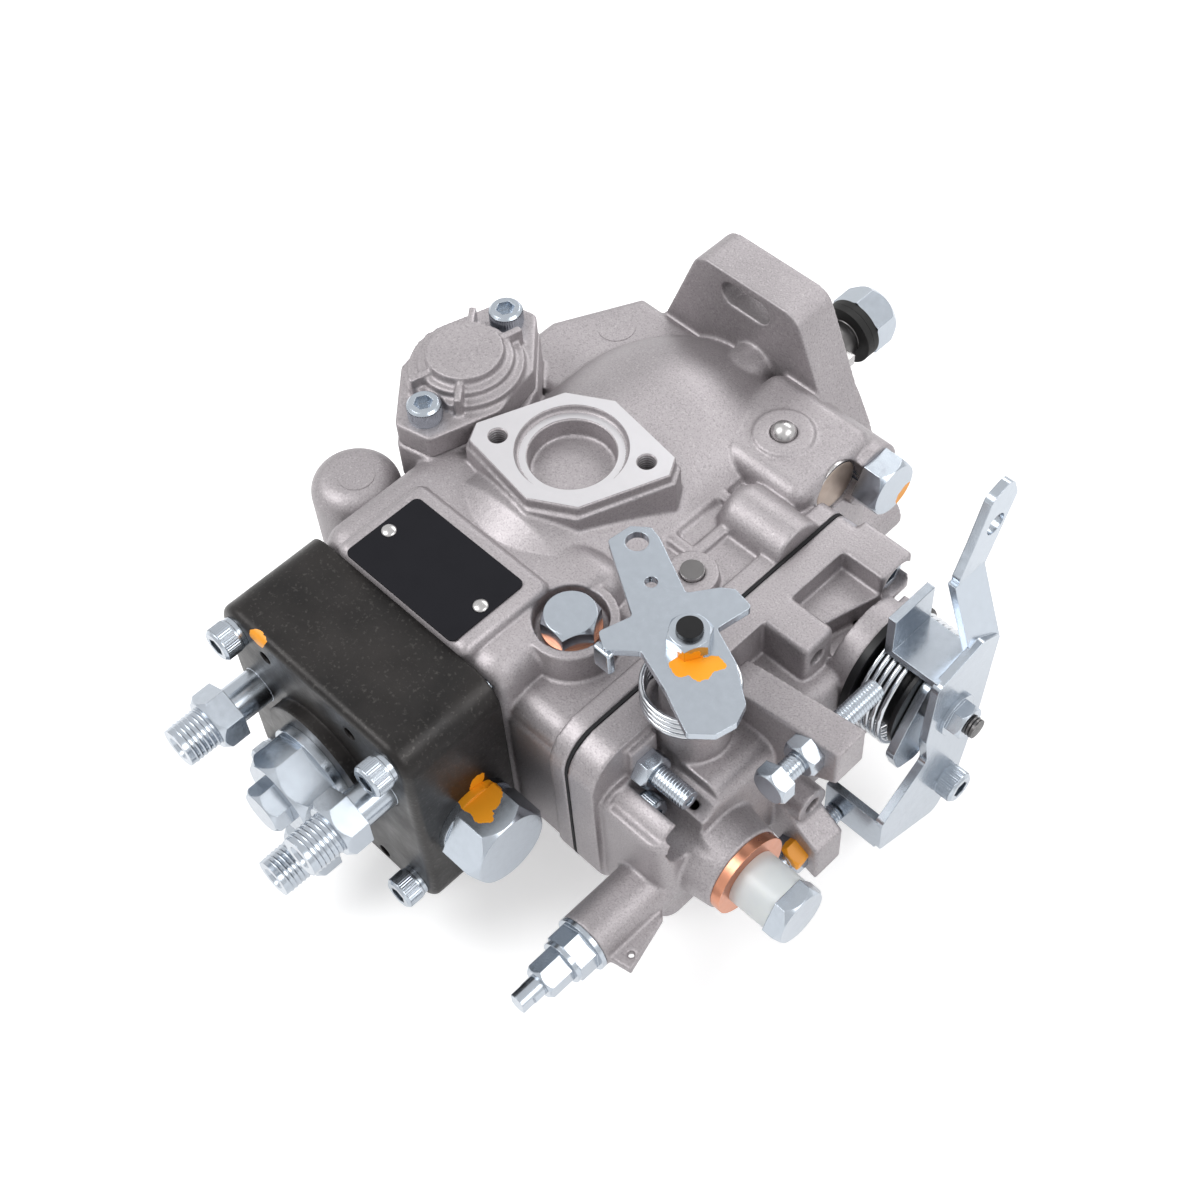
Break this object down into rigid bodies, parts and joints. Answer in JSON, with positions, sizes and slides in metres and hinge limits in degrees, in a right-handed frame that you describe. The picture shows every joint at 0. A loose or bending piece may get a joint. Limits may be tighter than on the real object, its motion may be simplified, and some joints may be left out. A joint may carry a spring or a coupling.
{
  "type": "diesel injection pump",
  "caption": "Rotary diesel injection pump with flange, black distributor head, three outlets, mechanical governor cover, control lever and stop lever.",
  "frame": {"origin": "on the drive axis, in the mounting face of the flange", "axes": "+Y out of the drive end along the drive axis, +X up as installed towards the governor cover, +Z up as it lies, towards the octagonal pad"},
  "size_m": [0.1933, 0.2675, 0.1364],
  "materials": {
    "cast_alloy": "cast, sand-fine grain",
    "machined_alloy": "machined",
    "black_steel": "blackened, oiled",
    "zinc_steel": "bright zinc plate",
    "steel": "ground",
    "spring_steel": "bright wire",
    "copper": "soft copper",
    "bronze": "sintered bronze",
    "black_plate": "anodised black",
    "black_plastic": "moulded",
    "white_nylon": "translucent nylon",
    "rubber": "oil-proof rubber",
    "gasket": "fibre gasket"
  },
  "bodies": {
    "housing": {"pump_housing": "cast_alloy", "governor_cover": "cast_alloy", "timing_covers": "cast_alloy", "shaft_bush": "bronze", "shaft_seal": "rubber", "supply_pump_ring": "steel", "supply_pump_plate": "steel", "governor_shaft": "steel", "timing_screws": "zinc_steel", "timing_spring": "spring_steel", "distributor_head": "black_steel", "distributor_barrel": "steel", "head_screws": "zinc_steel", "delivery_holders": "zinc_steel", "central_plug": "zinc_steel", "bleed_bolt": "zinc_steel", "shutoff_plug": "zinc_steel", "copper_washers": "copper", "cover_screws": "zinc_steel", "cover_stud": "zinc_steel", "full_load_screw": "zinc_steel", "full_load_nut": "zinc_steel", "return_union": "white_nylon", "return_bolt": "zinc_steel", "stop_screws": "zinc_steel", "lock_nuts": "zinc_steel", "pivot_bolts": "zinc_steel", "pressure_valve": "zinc_steel", "sealing_plugs": "steel", "nameplate": "black_plate", "plunger_springs": "spring_steel", "control_bush": "black_plastic", "cover_gasket": "gasket", "stop_spring": "spring_steel"},
    "drive": {"drive_shaft": "steel", "shaft_key": "steel", "shaft_washers": "black_steel", "shaft_nut": "zinc_steel", "supply_pump_rotor": "steel", "drive_gear": "steel", "cross_disc": "steel", "cam_plate": "steel", "plunger": "steel"},
    "carrier": {"governor_carrier": "steel", "flyweights": "steel"},
    "sleeve": {"governor_sleeve": "steel"},
    "governor_arm": {"governor_lever": "steel", "governor_spring": "spring_steel"},
    "control_ring": {"control_sleeve": "steel"},
    "ring": {"roller_ring": "steel", "rollers": "steel"},
    "piston": {"timing_piston": "steel"},
    "control": {"control_shaft": "steel", "control_lever": "zinc_steel", "control_lever_nut": "zinc_steel", "lever_screw": "zinc_steel", "control_spring": "spring_steel"},
    "stop": {"stop_shaft": "black_steel", "stop_lever": "zinc_steel", "stop_nut": "zinc_steel"}
  },
  "joints": [
    {"name": "drive_turn", "type": "hinge", "parent": "housing", "child": "drive", "pos_m": [0, 0, 0], "axis": [0, 1, 0], "continuous": true},
    {"name": "governor_turn", "type": "hinge", "parent": "housing", "child": "carrier", "pos_m": [0.05, -0.06, 0], "axis": [0, 1, 0], "continuous": true},
    {"name": "sleeve_slide", "type": "slide", "parent": "housing", "child": "sleeve", "axis": [0, 1, 0], "range_m": [-0.001, 0]},
    {"name": "governor_arm_swing", "type": "hinge", "parent": "housing", "child": "governor_arm", "pos_m": [0.0364, -0.1238, 0], "axis": [0, 0, 1], "range_deg": [-4.3, 0.1]},
    {"name": "control_ring_slide", "type": "slide", "parent": "housing", "child": "control_ring", "axis": [0, 1, 0], "range_m": [-0.0001, 0.002]},
    {"name": "ring_turn", "type": "hinge", "parent": "housing", "child": "ring", "pos_m": [0, -0.086, 0], "axis": [0, 1, 0], "range_deg": [-7.7, 7.7]},
    {"name": "piston_slide", "type": "slide", "parent": "housing", "child": "piston", "axis": [0, 0, 1], "range_m": [-0.006, 0.006], "deforming": ["timing_spring"]},
    {"name": "control_lever_turn", "type": "hinge", "parent": "housing", "child": "control", "pos_m": [0.11, -0.06, 0.008], "axis": [1, 0, 0], "range_deg": [0, 16], "stiffness_Nm_per_rad": 0.5, "springref_deg": -22.92},
    {"name": "stop_lever_turn", "type": "hinge", "parent": "housing", "child": "stop", "pos_m": [0.0748, -0.1172, 0.05], "axis": [0, 0, 1], "range_deg": [0, 20], "stiffness_Nm_per_rad": 0.3, "springref_deg": -20.05}
  ],
  "couplings": [
    {"joint": "governor_turn", "follows": "drive_turn", "ratio": -1.6364},
    {"joint": "governor_arm_swing", "follows": "sleeve_slide", "rad_per_m": 73.5},
    {"joint": "control_ring_slide", "follows": "sleeve_slide", "ratio": -1.9},
    {"joint": "ring_turn", "follows": "piston_slide", "rad_per_m": 22.2}
  ]
}
